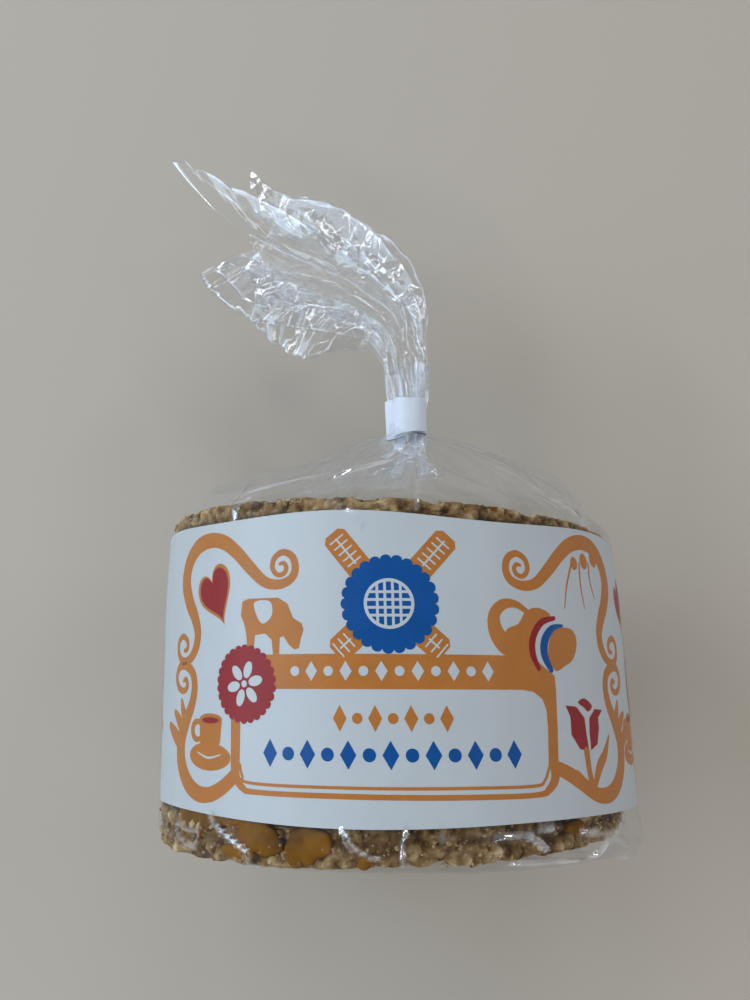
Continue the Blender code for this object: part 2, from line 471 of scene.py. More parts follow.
def addWafel(name, index, voxel, rough, tilt=0.0, shift=(0.0, 0.0), shrink=0.0):
    size = wafelSize
    radius = size["radius"] - shrink
    deselectAll()
    bpy.ops.mesh.primitive_cylinder_add(vertices=120, radius=radius * mm, depth=size["thickness"] * mm)
    o = bpy.context.object
    o.name = name
    bpy.ops.object.mode_set(mode="EDIT")
    bpy.ops.mesh.select_all(action="DESELECT")
    rims = bmesh.from_edit_mesh(o.data)
    for edge in rims.edges:
        flat = abs(edge.verts[0].co.z - edge.verts[1].co.z) < 1e-6
        edge.select_set(flat)
    bmesh.update_edit_mesh(o.data)
    bpy.ops.mesh.bevel(offset=size["bevel"] * mm, segments=3)
    bpy.ops.object.mode_set(mode="OBJECT")
    remesh = o.modifiers.new("evenMesh", "REMESH")
    remesh.mode = "VOXEL"
    remesh.voxel_size = voxel * mm
    applyModifiers(o)
    p = getPoints(o) / mm
    r = np.hypot(p[:, 0], p[:, 1])
    outward = p.copy()
    rimShare = smoothStep(radius - 3.5, radius - 0.6, r)
    faceShare = 1 - rimShare
    # squares pressed into both faces
    fromLine = np.abs((p[:, :2] / size["grid"]) % 1 - 0.5)
    lines = np.minimum(fromLine[:, 0], fromLine[:, 1])
    pressed = smoothStep(0.09, 0.2, lines) * faceShare * (np.abs(p[:, 2]) > size["thickness"] * 0.35)
    p[:, 2] -= np.sign(p[:, 2]) * pressed * size["gridDepth"]
    # crumb: lumps of two sizes, broken out in places, with the filling set back between two layers
    seed = Vector((index * 31.7, index * 11.3, index * 5.9))
    lump, grit, broken, crumbly, chipped = [], [], [], [], []
    for x, y, z in p:
        at = Vector((x, y, z)) + seed
        lump.append(noise.voronoi(at / crumbGrain["lump"])[0][0])
        grit.append(noise.voronoi(at / crumbGrain["grit"])[0][0])
        broken.append(noise.fractal(at / crumbGrain["patch"], 1.0, 2.0, 3))
        crumbly.append(noise.fractal(at / crumbGrain["crumb"], 0.5, 2.1, 4))
        chipped.append(noise.fractal(at / crumbGrain["chip"], 1.0, 2.0, 2))
    lump, grit, broken = np.array(lump), np.array(grit), np.array(broken)
    crumbly, chipped = np.array(crumbly), np.array(chipped)
    filling = np.exp(-((p[:, 2] + 0.25 * broken) / (size["thickness"] * 0.11)) ** 2) * rimShare
    rise = (0.36 - lump) * 0.95 + (0.38 - grit) * 0.65 + 0.45 * broken + 0.42 * crumbly
    push = np.clip(rise * rough, -crumbGrain["deep"], crumbGrain["proud"]) - filling * 0.45
    outward[:, 2] = p[:, 2] * 1.2
    outward /= np.maximum(np.linalg.norm(outward, axis=1), 1e-6)[:, None]
    p += outward * (push * rimShare)[:, None]
    p[:, 2] += np.sign(p[:, 2]) * (0.16 * rise) * faceShare
    # chips out of the rim's edges
    p[:, 2] *= 1 - crumbGrain["chipDepth"] * smoothStep(0.05, 0.55, chipped) * rimShare
    setPoints(o, p * mm)
    # crumb tone: random variation from the noise, plus painted shade, darker where the crumb lies low between
    # lumps and in the pressed squares
    toneAndPaintedShade = 0.29 + 0.34 * np.clip(rise, -0.7, 1) + 0.10 * chipped + 0.07 * faceShare - 0.17 * pressed
    setMask(o, "rise", toneAndPaintedShade)
    setMask(o, "syrup", np.clip(filling * 1.2 * (0.5 + broken), 0, 0.8))
    y = stackHigh - (index + 0.5) * (stackHigh - stackLow) / wafelCount
    o.rotation_euler = (math.pi / 2, 0, math.radians(tilt))
    o.location = ((leanOf(y) + shift[0]) * mm, (y + shift[1]) * mm, (axisHeight + 0.15 - shrink * 0.6) * mm)
    bakeTransform(o)
    smoothShade(o, 60)
    settle(o, "film_bag", crust)


fineVoxel = 0.44
for index in range(wafelCount):
    if index == 0:
        addWafel("wafelTop", index, fineVoxel, 1.0, tilt=-2.4, shrink=0.2)
    elif index == wafelCount - 1:
        addWafel("wafelEnd", index, fineVoxel, 1.15, tilt=1.8, shift=(-1.6, 0.3), shrink=0.7)
    else:
        addWafel(f"wafel{index + 1}", index, 1.8, 0.8)


# syrup squeezed out at the last wafel's rim: arc from the top line, y, width, height, bulge, mm
syrupBlobs = [(-41.5, -23.6, 13.0, 5.8, 1.6), (-30.5, -22.2, 7.0, 2.2, 1.3), (-24.6, -24.2, 8.6, 5.6, 1.5),
              (-15.6, -24.9, 7.6, 6.0, 1.6), (-29.0, -26.6, 7.0, 2.4, 1.3), (-35.0, -22.0, 4.0, 1.8, 1.1),
              (-6.0, -26.8, 3.2, 2.0, 1.1), (31.0, -23.2, 5.0, 2.4, 1.2), (76.0, -24.0, 7.0, 3.6, 1.3),
              (96.0, -25.0, 9.0, 3.0, 1.2), (-70.0, -24.5, 8.0, 3.4, 1.3), (-104.0, -23.8, 6.0, 3.0, 1.1),
              (18.0, 26.6, 3.4, 1.2, 0.6), (-58.0, 26.8, 6.0, 1.6, 0.8)]


def rimPlace(u, y, rise):                 # arc, y and height above the rim to a place on the stack's skin
    radius = wafelSize["radius"] + rise
    turn = u / packRadius
    return np.stack([leanOf(y) + radius * np.sin(turn), y, axisHeight + radius * np.cos(turn)], axis=1)


def addSyrup():
    rng = np.random.default_rng(17)
    blobs = []
    for u, y, wide, high, bulge in syrupBlobs:
        deselectAll()
        bpy.ops.mesh.primitive_ico_sphere_add(subdivisions=5, radius=1)
        o = bpy.context.object
        p = getPoints(o)
        turn = np.arctan2(p[:, 1], p[:, 0])
        phase = rng.uniform(0, 6.28, 3)
        outline = 1 + 0.14 * np.sin(2 * turn + phase[0]) + 0.09 * np.sin(3 * turn + phase[1]) \
            + 0.04 * np.sin(7 * turn + phase[2])
        flat = np.sign(p[:, 2]) * np.abs(p[:, 2]) ** 0.45
        wobble = 0.10 * np.sin(p[:, 0] * 4 + phase[1]) * np.sin(p[:, 1] * 3 + phase[2])
        rise = np.minimum(-0.75 + (flat + wobble) * bulge * 0.75, 0.50 + 0.6 * wobble)      # flat to the film
        arc = u + p[:, 0] * outline * wide / 2
        setPoints(o, rimPlace(arc, y + p[:, 1] * outline * high / 2, rise) * mm)
        blobs.append(o)
    o = joinAll(blobs, "syrupBlobs")
    bpy.ops.object.shade_smooth()
    settle(o, "film_bag", syrupAmber)


crumbLook = dict(rim=1100, loose=14, small=0.10, large=0.50)


def addCrumbs():                          # crumbs stuck to both rims, and loose ones in the bottom fold
    look = crumbLook
    rng = np.random.default_rng(23)
    shapes = []
    for k in range(5):
        deselectAll()
        bpy.ops.mesh.primitive_ico_sphere_add(subdivisions=2, radius=1)
        o = bpy.context.object
        p = getPoints(o)
        bumps = np.array([noise.noise(Vector(q) * 1.7 + Vector((k * 9.1, 0, 0))) for q in p])
        shapes.append(p * (1 + 0.55 * bumps)[:, None])
        faces = np.array([list(f.vertices) for f in o.data.polygons])
        bpy.data.objects.remove(o)
    points, corners, count = [], [], 0
    for k in range(look["rim"] + look["loose"]):
        size = look["small"] + (look["large"] - look["small"]) * rng.random() ** 2.5
        loose = k >= look["rim"]
        if loose:
            u, y, rise = rng.normal(12, 5), -27.5 - 0.5 * rng.random(), -0.6 - 3.0 * rng.random()
        else:
            u = rng.uniform(-1, 1) * math.pi * packRadius
            y = rng.uniform(-27.2, -22.2) if k % 3 else rng.uniform(26.8, 27.9)
            rise = rng.uniform(-0.9, -0.15)
        turn = rng.normal(size=(3, 3))
        turn, _ = np.linalg.qr(turn)
        shape = shapes[k % 5] * size * rng.uniform(0.6, 1.0, 3)
        at = rimPlace(np.array([u]), np.array([y]), np.array([rise]))
        at[:, 0] -= 1.4 if y < -21 else 0.0                        # as the end wafels sit and tilt
        at[:, 1] += at[:, 0] * (0.031 if y < -21 else -0.042)
        points.append(shape @ turn + at)
        corners.append(faces + count)
        count += len(shape)
    mesh = bpy.data.meshes.new("looseCrumbs")
    mesh.from_pydata((np.concatenate(points) * mm).tolist(), [], np.concatenate(corners).tolist())
    o = bpy.data.objects.new("looseCrumbs", mesh)
    scene.collection.objects.link(o)
    setMask(o, "rise", np.repeat(rng.uniform(0.14, 0.46, len(points)), len(points[0])))
    setMask(o, "syrup", np.zeros(count))
    outwardNormals(o)
    smoothShade(o, 50)
    settle(o, "film_bag", crust)


addSyrup()
addCrumbs()
print("wafels baked")


# ---------------------------------------------------------------- paper band
bandSize = dict(radius=packRadius - 0.25, thickness=0.14, around=288, along=16, taperFrom=14.0, taper=0.55)
labelMiddle = (labelStart + labelEnd) / 2


def wrapBand(u, y, rise=0.0):           # arc length from the top line and y on the flat band to a place, mm
    size = bandSize
    taper = size["taper"] * smoothStep(size["taperFrom"], labelEnd + 2, y)
    wave = 0.10 * np.sin(3 * u / size["radius"] + 0.6) + 0.07 * np.sin(7 * u / size["radius"] + y / 9.0)
    radius = size["radius"] - taper + wave * 0.8 + rise
    angle = u / size["radius"]
    x = leanOf(y) + radius * np.sin(angle)
    z = np.maximum(axisHeight + radius * np.cos(angle), 0.22 + rise)
    return np.stack([x, y, z], axis=1)


def addBand():
    size = bandSize
    deselectAll()
    bpy.ops.mesh.primitive_cylinder_add(vertices=size["around"], radius=size["radius"] * mm,
                                        depth=(labelEnd - labelStart) * mm, end_fill_type="NOTHING")
    o = bpy.context.object
    o.name = "paperBand"
    bpy.ops.object.mode_set(mode="EDIT")
    for step in range(1, size["along"]):
        bpy.ops.mesh.select_all(action="SELECT")
        cut = (labelEnd - labelStart) * (step / size["along"] - 0.5) * mm
        bpy.ops.mesh.bisect(plane_co=(0, 0, cut), plane_no=(0, 0, 1))
    bpy.ops.object.mode_set(mode="OBJECT")
    p = getPoints(o) / mm
    turn = np.arctan2(p[:, 0], p[:, 1])
    share = p[:, 2] / (labelEnd - labelStart)
    topWave = 0.75 * np.cos(2 * turn + 2.0) + 0.40 * np.cos(6 * turn + 1.05)
    lowWave = 0.30 * np.cos(4 * turn + 3.9)
    y = labelMiddle + p[:, 2] + topWave * (0.5 + share) + lowWave * (0.5 - share)
    setPoints(o, wrapBand(turn * size["radius"], y) * mm)
    wall = o.modifiers.new("paper", "SOLIDIFY")
    wall.thickness = size["thickness"] * mm
    wall.offset = 0
    applyModifiers(o)
    outwardNormals(o)
    smoothShade(o, 50)
    settle(o, "label", paperWhite)


addBand()
print("paper band wrapped")


printLook = dict(panels=3, pitch=87.6, strip=2.0, thickness=0.05, layer=0.008, mirrorShift=1.4)


def smoothLoop(points, steps=5):          # rounded closed outline through the points
    ring = np.asarray(points, float)
    rows = np.concatenate([ring[-1:], ring, ring[:2]])
    return curveThrough(rows, steps)[steps:-steps - 1]


def brush(points, steps=7):               # outline of a stroke, from rows of u, y and width
    rows = curveThrough(points, steps)
    line, half = rows[:, :2], rows[:, 2:] / 2
    run = np.gradient(line, axis=0)
    run /= np.linalg.norm(run, axis=1)[:, None]
    side = np.stack([-run[:, 1], run[:, 0]], axis=1)
    turn = np.radians(np.arange(-60, 61, 30))[:, None]
    endCap = line[-1] + half[-1] * (run[-1] * np.cos(turn) - side[-1] * np.sin(turn))
    startCap = line[0] - half[0] * (run[0] * np.cos(turn) - side[0] * np.sin(turn))
    return np.concatenate([line + side * half, endCap, (line - side * half)[::-1], startCap])


def disc(u, y, radius, height=None, turn=0.0, count=36):
    t = np.linspace(0, 2 * math.pi, count, endpoint=False)
    a, b = radius * np.cos(t), (height or radius) * np.sin(t)
    c, s = math.cos(turn), math.sin(turn)
    return np.stack([u + a * c - b * s, y + a * s + b * c], axis=1)


def scallop(u, y, radius, lobes, depth):
    t = np.linspace(0, 2 * math.pi, lobes * 8, endpoint=False)
    r = radius - depth + depth * np.abs(np.sin(t * lobes / 2)) ** 0.55
    return np.stack([u + r * np.cos(t), y + r * np.sin(t)], axis=1)


def heart(u, y, width, height, turn):
    t = np.linspace(0, 2 * math.pi, 48, endpoint=False)
    a = width / 32 * 16 * np.sin(t) ** 3
    b = height / 29 * (13 * np.cos(t) - 5 * np.cos(2 * t) - 2 * np.cos(3 * t) - np.cos(4 * t) + 2)
    c, s = math.cos(turn), math.sin(turn)
    return np.stack([u + a * c - b * s, y + a * s + b * c], axis=1)


def diamond(u, y, width, height):
    return np.array([(u - width / 2, y), (u, y - height / 2), (u + width / 2, y), (u, y + height / 2)])


def barBetween(start, end, width):        # straight bar
    start, end = np.array(start, float), np.array(end, float)
    run = (end - start) / np.linalg.norm(end - start)
    side = np.array([-run[1], run[0]]) * width / 2
    return np.array([start + side, start - side, end - side, end + side])


def mirrored(points, shift=0.0):
    rows = np.array(points, float)
    rows[:, 0] = shift - rows[:, 0]
    return rows


def addInk(loops, layer=0):               # one flat printed shape as a thin closed plate, in mm
    curve = bpy.data.curves.new("ink", "CURVE")
    curve.dimensions = "2D"
    curve.fill_mode = "BOTH"
    curve.extrude = (printLook["thickness"] + layer * printLook["layer"]) / 2
    for loop in loops:
        spline = curve.splines.new("POLY")
        spline.points.add(len(loop) - 1)
        spline.points.foreach_set("co", [c for u, y in loop for c in (u, y, 0, 1)])
        spline.use_cyclic_u = True
    o = bpy.data.objects.new("ink", curve)
    scene.collection.objects.link(o)
    pick(o)
    bpy.ops.object.convert(target="MESH")
    p = getPoints(o)
    p[:, 2] += layer * printLook["layer"] / 2
    setPoints(o, p)
    return o


def wrapInk(plates, name, material, panelCount=printLook["panels"]):
    flat = joinAll(plates, name)
    bpy.ops.object.mode_set(mode="EDIT")
    bpy.ops.mesh.select_all(action="SELECT")
    bpy.ops.mesh.remove_doubles(threshold=0.0001)
    strip = printLook["strip"]
    for step in range(-26, 27):
        bpy.ops.mesh.select_all(action="SELECT")
        bpy.ops.mesh.bisect(plane_co=(step * strip, 0, 0), plane_no=(1, 0, 0))
    bpy.ops.mesh.select_all(action="SELECT")
    bpy.ops.mesh.quads_convert_to_tris()
    bpy.ops.mesh.normals_make_consistent(inside=False)
    bpy.ops.object.mode_set(mode="OBJECT")
    panels = [flat]
    for k in range(1, panelCount):
        copied = flat.copy()
        copied.data = flat.data.copy()
        scene.collection.objects.link(copied)
        panels.append(copied)
    for k, panel in enumerate(panels):
        p = getPoints(panel)
        rise = bandSize["thickness"] / 2 + p[:, 2]
        setPoints(panel, wrapBand(p[:, 0] + k * printLook["pitch"], p[:, 1], rise) * mm)
    whole = joinAll(panels, name)
    settle(whole, "label", material)


def borderStrokes():
    top = [(-19.3, 17.6, 0.5), (-18.6, 17.7, 0.7), (-18.1, 16.9, 0.8), (-18.6, 16.0, 0.8),
           (-19.8, 15.9, 0.8), (-20.7, 17.1, 0.9), (-20.3, 18.7, 1.0), (-18.7, 19.5, 1.1),
           (-17.0, 18.6, 1.2), (-16.5, 16.6, 1.3), (-17.4, 15.0, 1.4), (-19.6, 14.3, 1.6),
           (-22.2, 14.9, 1.8), (-24.9, 17.1, 2.1), (-28.2, 20.1, 2.3), (-31.5, 22.2, 2.5),
           (-35.3, 23.0, 2.7), (-39.3, 22.3, 3.1), (-42.2, 19.8, 3.4), (-42.9, 16.4, 3.4),
           (-41.4, 12.9, 3.0), (-39.3, 10.0, 2.5), (-38.2, 7.3, 2.1), (-38.9, 4.7, 2.0), (-40.9, 3.0, 1.6),
           (-43.6, 2.7, 1.4), (-45.6, 4.0, 1.3), (-45.7, 6.0, 1.2), (-43.8, 7.0, 1.1), (-41.9, 6.1, 1.1),
           (-41.9, 4.8, 1.0), (-43.1, 4.5, 0.7)]
    low = [(-43.2, -0.6, 0.7), (-42.2, -0.4, 1.0), (-41.7, -1.5, 1.1), (-43.0, -2.3, 1.1),
           (-45.2, -1.8, 1.2), (-46.4, 0.0, 1.3), (-45.2, 1.7, 1.4), (-42.6, 2.0, 1.6), (-39.9, 0.8, 1.8),
           (-39.0, -1.6, 2.0), (-39.8, -4.4, 2.2), (-41.9, -7.4, 2.7), (-43.7, -10.4, 3.3),
           (-43.7, -13.7, 3.4), (-41.4, -16.8, 3.1), (-38.0, -18.5, 2.7), (-34.3, -18.6, 2.4),
           (-30.9, -17.3, 2.3), (-28.2, -15.4, 2.2)]
    leaves = [[(-41.6, -7.6, 1.8), (-43.1, -5.8, 1.9), (-43.9, -3.9, 0.8)],
              [(-43.0, -9.0, 2.0), (-44.8, -7.4, 2.2), (-46.9, -6.0, 1.2)],
              [(-43.6, -11.5, 2.2), (-46.3, -9.9, 2.6), (-49.6, -8.3, 1.5)]]
    return [top, low] + leaves


def sailParts():                          # four sails round the badge, and their lattice
    hub = np.array([-1.4, 10.9])
    sails, lattice = [], []
    for degrees, reach in ((128.5, 14.3), (47.5, 14.6), (221.5, 11.4), (318.0, 11.2)):
        out = np.array([math.cos(math.radians(degrees)), math.sin(math.radians(degrees))])
        side = np.array([-out[1], out[0]])
        near, far, half = hub + out * 5.5, hub + out * reach, 2.05
        corner = [near + side * half, far + side * half - out * 0.8, far + side * (half - 0.8),
                  far - side * (half - 0.8), far - side * half - out * 0.8, near - side * half]
        sails.append(np.array(corner)[::-1])
        lattice.append(barBetween(hub + out * 8.0, hub + out * (reach - 1.1), 0.3))
        steps = 5 if reach > 12 else 3
        for k in range(steps):
            at = hub + out * (8.4 + k * 1.15)
            lattice.append(barBetween(at - side * 1.35, at + side * 1.35, 0.26))
    return sails, lattice


def addPrint():
    orange, blue, red, white = [], [], [], []
    border = [addInk([brush(stroke)]) for stroke in borderStrokes()]
    for stroke in borderStrokes():
        orange.append(addInk([brush(mirrored(stroke, printLook["mirrorShift"]))]))
    sails, lattice = sailParts()
    orange += [addInk([sail], 1) for sail in sails]
    white += [addInk([bar], 3) for bar in lattice]
    # banner, frame and the double line under the box
    banner = [(-27.5, 3.3), (-12.0, 3.3), (4.0, 3.2), (20.5, 3.2), (22.5, 2.6), (26.2, 0.2), (26.3, -1.6),
              (26.0, -8.0), (25.6, -13.6), (23.6, -13.6), (24.0, -8.0), (24.0, -5.2), (23.3, -3.4),
              (21.6, -2.3), (19.5, -2.0), (0.0, -2.0), (-22.0, -2.0), (-25.6, -2.4), (-26.8, -4.0),
              (-27.0, -13.9), (-28.9, -13.9), (-28.9, -2.0)]
    orange.append(addInk([np.array(banner)[::-1]], 2))
    orange.append(addInk([brush([(-28.0, -13.2, 1.9), (-27.7, -15.4, 1.6), (-26.2, -17.1, 1.1),
                                 (-23.6, -17.5, 0.8), (-10.0, -17.5, 0.8), (10.0, -17.6, 0.8),
                                 (21.0, -17.6, 0.8), (23.4, -16.9, 1.2), (24.8, -15.2, 1.7),
                                 (24.7, -13.0, 1.9)])], 1))
    orange.append(addInk([brush([(-26.9, -13.6, 0.45), (-26.4, -15.2, 0.45), (-24.8, -16.2, 0.45),
                                 (-10.0, -16.3, 0.45), (10.0, -16.3, 0.45), (20.6, -16.3, 0.45),
                                 (22.6, -15.6, 0.45), (23.7, -13.6, 0.45)])], 3))
    orange.append(addInk([brush([(31.0, -16.6, 2.2), (28.2, -15.0, 2.3), (25.4, -13.8, 2.0)])], 3))
    # drips and hairlines under the right arch
    for u, y, radius in ((33.3, 19.0, 0.95), (36.4, 19.7, 1.15), (40.0, 20.6, 1.3)):
        orange.append(addInk([disc(u, y, radius, radius * 1.2)], 1))
    for line in ([(32.4, 18.6, 0.4), (30.7, 15.0, 0.34), (29.8, 11.2, 0.2)],
                 [(34.9, 19.2, 0.4), (34.6, 15.5, 0.34), (35.3, 11.5, 0.2)],
                 [(38.0, 19.6, 0.4), (37.8, 16.5, 0.34), (38.9, 13.4, 0.2)]):
        orange.append(addInk([brush(line)]))
    # heart, cow, cup and saucer, clog, tulip
    orange.append(addInk([heart(-33.0, 13.1, 8.8, 10.4, 0.44)]))
    red.append(addInk([heart(-33.0, 13.2, 7.6, 9.0, 0.44)], 2))
    cow = [(-27.0, 9.6), (-26.7, 11.9), (-25.4, 12.3), (-19.6, 12.2), (-17.9, 11.2), (-16.9, 8.9),
           (-15.4, 8.0), (-15.1, 7.0), (-15.6, 5.6), (-15.9, 4.2), (-16.7, 4.0), (-17.6, 4.7), (-18.6, 6.1),
           (-19.3, 5.9), (-19.4, 2.6), (-20.4, 2.6), (-20.8, 5.6), (-22.0, 6.6), (-24.0, 6.4), (-24.4, 2.6),
           (-25.4, 2.6), (-25.8, 6.6), (-26.3, 8.4)]
    orange.append(addInk([np.array(cow)[::-1]]))
    white.append(addInk([smoothLoop([(-24.2, 11.6), (-21.2, 11.7), (-20.7, 9.6), (-22.2, 8.2),
                                     (-23.4, 9.0)])], 2))
    cup = [(-37.2, -6.8), (-31.1, -6.9), (-31.5, -10.4), (-32.6, -12.0), (-36.0, -12.0), (-37.0, -10.4)]
    orange.append(addInk([np.array(cup)[::-1]]))
    orange.append(addInk([disc(-34.15, -6.9, 3.1, 1.0)], 1))
    red.append(addInk([disc(-34.1, -7.0, 2.3, 0.5)], 3))
    orange.append(addInk([disc(-38.0, -8.7, 2.0, 1.9), disc(-37.7, -8.7, 1.1, 1.0)[::-1]], 1))
    orange.append(addInk([disc(-34.6, -12.7, 5.6, 2.2)], 1))
    white.append(addInk([brush([(-37.6, -12.2, 0.2), (-34.5, -12.9, 0.34), (-31.4, -12.3, 0.2)])], 3))
    orange.append(addInk([brush([(21.2, 10.3, 0.9), (19.2, 11.3, 1.2), (16.9, 11.1, 1.7), (15.3, 9.4, 2.0),
                                 (15.5, 6.8, 2.6), (17.2, 4.8, 3.2), (19.4, 4.4, 3.0)])]))
    clog = [(17.4, 7.2), (19.6, 8.2), (21.2, 10.2), (23.6, 10.9), (26.2, 9.9), (24.2, 8.2), (22.4, 5.4),
            (22.2, 2.6), (19.0, 2.8), (16.8, 4.6)]
    orange.append(addInk([smoothLoop(clog[::-1])], 1))
    red.append(addInk([brush([(27.0, 9.4, 0.7), (24.2, 8.6, 1.1), (22.3, 6.2, 1.2), (22.0, 3.6, 1.2),
                              (23.0, 1.3, 0.8)])], 3))
    blue.append(addInk([brush([(28.8, 8.3, 0.4), (26.4, 7.7, 1.1), (24.7, 5.8, 1.5), (24.4, 3.4, 1.4),
                               (25.6, 1.1, 0.9)])], 3))
    toe = [(28.4, 8.0), (31.4, 7.6), (32.2, 5.6), (31.0, 3.0), (28.6, 1.7), (26.6, 1.0), (25.2, 3.0),
           (25.6, 5.6), (26.8, 7.3)]
    orange.append(addInk([smoothLoop(toe[::-1])]))
    leftPetal = [(28.2, -4.4), (30.8, -4.6), (32.8, -6.4), (33.0, -9.0), (33.4, -11.6), (31.0, -11.2),
                 (29.1, -8.9), (29.2, -6.2)]
    rightPetal = [(38.4, -5.2), (36.0, -5.0), (34.2, -6.4), (33.9, -8.6), (34.0, -11.5), (36.0, -10.6),
                  (36.9, -8.2), (36.9, -6.4)]
    red.append(addInk([np.array(leftPetal)]))
    red.append(addInk([np.array(rightPetal)[::-1]]))
    red.append(addInk([smoothLoop([(31.4, -3.9), (32.9, -4.8), (34.0, -5.4), (35.2, -4.5), (33.2, -3.3)])]))
    orange.append(addInk([brush([(32.7, -11.6, 1.5), (33.0, -14.6, 1.3), (33.8, -18.0, 1.6)])], 1))
    orange.append(addInk([brush([(34.2, -17.2, 1.0), (36.1, -14.2, 1.9), (38.3, -12.2, 1.6),
                                 (40.2, -9.4, 0.4)])]))
    # badges, each with a plain motif
    blue.append(addInk([scallop(-1.3, 10.9, 7.65, 25, 0.6)], 4))
    white.append(addInk([disc(-1.4, 10.9, 3.9), disc(-1.4, 10.9, 3.4)[::-1]], 6))
    for k in (-1.8, -0.6, 0.6, 1.8):
        reach = math.sqrt(3.5 ** 2 - k ** 2)
        white.append(addInk([barBetween((-1.4 + k, 10.9 - reach), (-1.4 + k, 10.9 + reach), 0.42)], 6))
        white.append(addInk([barBetween((-1.4 - reach, 10.9 + k), (-1.4 + reach, 10.9 + k), 0.42)], 7))
    red.append(addInk([scallop(-26.1, -1.2, 6.2, 26, 0.5)], 4))
    for k in range(6):
        turn = k * math.pi / 3 + 0.2
        petal = disc(-26.1 + 2.3 * math.cos(turn), -1.2 + 2.3 * math.sin(turn), 1.35, 0.8, turn)
        white.append(addInk([petal], 6))
    white.append(addInk([disc(-26.1, -1.2, 0.55)], 6))
    # rows of diamonds and dots on the banner and in the box
    for k in range(12):
        u = -16.6 + k * 2.75
        white.append(addInk([diamond(u, 0.7, 1.9, 3.0) if k % 2 else disc(u, 0.7, 0.75)], 6))
    for k in range(7):
        u = -9.4 + k * 2.7
        orange.append(addInk([diamond(u, -6.3, 2.1, 3.9) if k % 2 == 0 else disc(u, -6.3, 0.8)]))
    for k in range(13):
        u = -21.0 + k * 3.2
        blue.append(addInk([diamond(u, -11.6, 2.5, 4.2) if k % 2 == 0 else disc(u, -11.6, 1.0)]))
    wrapInk(border, "printBorder", inkOrange, 1)
    wrapInk(orange, "printOrange", inkOrange)
    wrapInk(blue, "printBlue", inkBlue)
    wrapInk(red, "printRed", inkRed)
    wrapInk(white, "printWhite", paperWhite)


addPrint()
print("print laid on")


# y, reach to the left, to the right and up of the film round the stack, mm
bagRows = [(-34.0, 38.5, 45.6, 0.5), (-33.2, 40.5, 46.0, 4.0), (-31.0, 43.4, 46.2, 24.0),
           (-29.2, 44.7, 45.9, 38.0), (-28.5, 45.2, 45.8, 43.4), (-27.7, 45.4, 45.7, 45.0),
           (-26.0, 45.6, 45.7, 45.7), (-12.0, 45.8, 45.8, 45.8), (6.0, 45.7, 45.7, 45.7),
           (20.0, 45.4, 45.4, 45.5), (27.0, 44.8, 44.7, 45.0), (29.0, 43.8, 43.0, 43.8),
           (30.6, 42.2, 40.9, 41.6), (33.5, 40.4, 39.8, 36.5), (37.6, 37.0, 37.4, 30.0),
           (39.4, 29.0, 35.4, 26.5), (41.5, 20.4, 32.0, 22.0), (45.5, 12.4, 24.4, 14.5),
           (49.5, 5.6, 15.6, 7.8), (tapeStart - 0.3, 3.7 - neckX, 3.7 + neckX, 3.7),
           (tapeStart + 2.5, 3.5 - neckX, 3.5 + neckX, 3.5)]
bagFilm = dict(around=490, pleats=17, pleatDepth=1.6, coarse=7.5, coarseRise=0.75, fine=3.4, fineRise=0.26)
# creases: rows of u and y along each, then its height and half width, mm
creases = [([(-31.5, 34.0), (-30.2, 30.5), (-29.9, 26.2)], 0.9, 0.9),
           ([(-27.6, 30.4), (-30.0, 28.4)], 0.7, 0.8),
           ([(26.0, 41.0), (30.5, 36.5), (33.0, 31.5), (36.8, 30.2), (37.5, 26.5)], 1.0, 1.0),
           ([(30.5, 31.0), (35.0, 29.0), (40.0, 26.0)], 0.8, 0.9), ([(34.0, 33.0), (39.0, 28.5)], 0.6, 0.8),
           ([(-13.5, 33.5), (-6.0, 36.5), (1.5, 40.0)], 1.1, 1.0),
           ([(-2.0, 40.5), (1.0, 44.5), (3.0, 41.0)], 0.9, 0.8),
           ([(3.6, 42.0), (3.2, 34.0), (2.6, 26.0)], 0.7, 0.7),
           ([(-33.0, 31.0), (-24.0, 33.0), (-17.0, 35.5)], 0.7, 0.9),
           ([(-12.0, 27.6), (-8.0, 25.8), (-5.5, 22.8)], 0.5, 0.8),
           ([(12.0, 33.0), (17.0, 31.0)], 0.6, 0.9),
           ([(-43.5, -24.5), (-40.8, -26.2), (-36.6, -26.6), (-34.6, -24.0), (-38.0, -24.4),
             (-43.0, -23.6)], 0.9, 0.8),
           ([(-33.2, -21.4), (-29.0, -24.2), (-24.6, -26.4), (-25.0, -28.4)], 0.9, 0.8),
           ([(-9.0, -21.8), (-6.6, -24.6), (-3.4, -26.0)], 0.8, 0.7),
           ([(0.6, -21.6), (0.2, -24.0), (0.4, -26.8)], 0.8, 0.6),
           ([(14.0, -23.2), (19.0, -23.2), (22.2, -25.2)], 1.0, 0.9),
           ([(21.6, -22.4), (24.0, -22.4)], 0.9, 0.9), ([(16.5, -27.2), (28.6, -27.6)], 0.8, 0.7),
           ([(30.0, -23.4), (38.0, -24.4), (43.0, -22.0)], 0.8, 1.0),
           ([(32.0, -27.5), (37.0, -25.2), (44.0, -27.0)], 0.9, 1.0),
           ([(5.6, -21.6), (6.0, -23.6)], 0.6, 0.6)]


def creaseRise(u, y):
    rise = np.zeros(np.broadcast(u, y).shape)
    for line, height, half in creases:
        nearest = np.full(rise.shape, 1e3)
        rows = curveThrough(line, 4) if len(line) > 2 else np.array(line, float)
        for (u0, y0), (u1, y1) in zip(rows[:-1], rows[1:]):
            du, dy = u1 - u0, y1 - y0
            t = np.clip(((u - u0) * du + (y - y0) * dy) / max(du * du + dy * dy, 1e-9), 0, 1)
            nearest = np.minimum(nearest, np.hypot(u - u0 - t * du, y - y0 - t * dy))
        rise = np.maximum(rise, 1.35 * height * np.clip(1 - nearest / half, 0, 1) ** 1.1)
    return rise


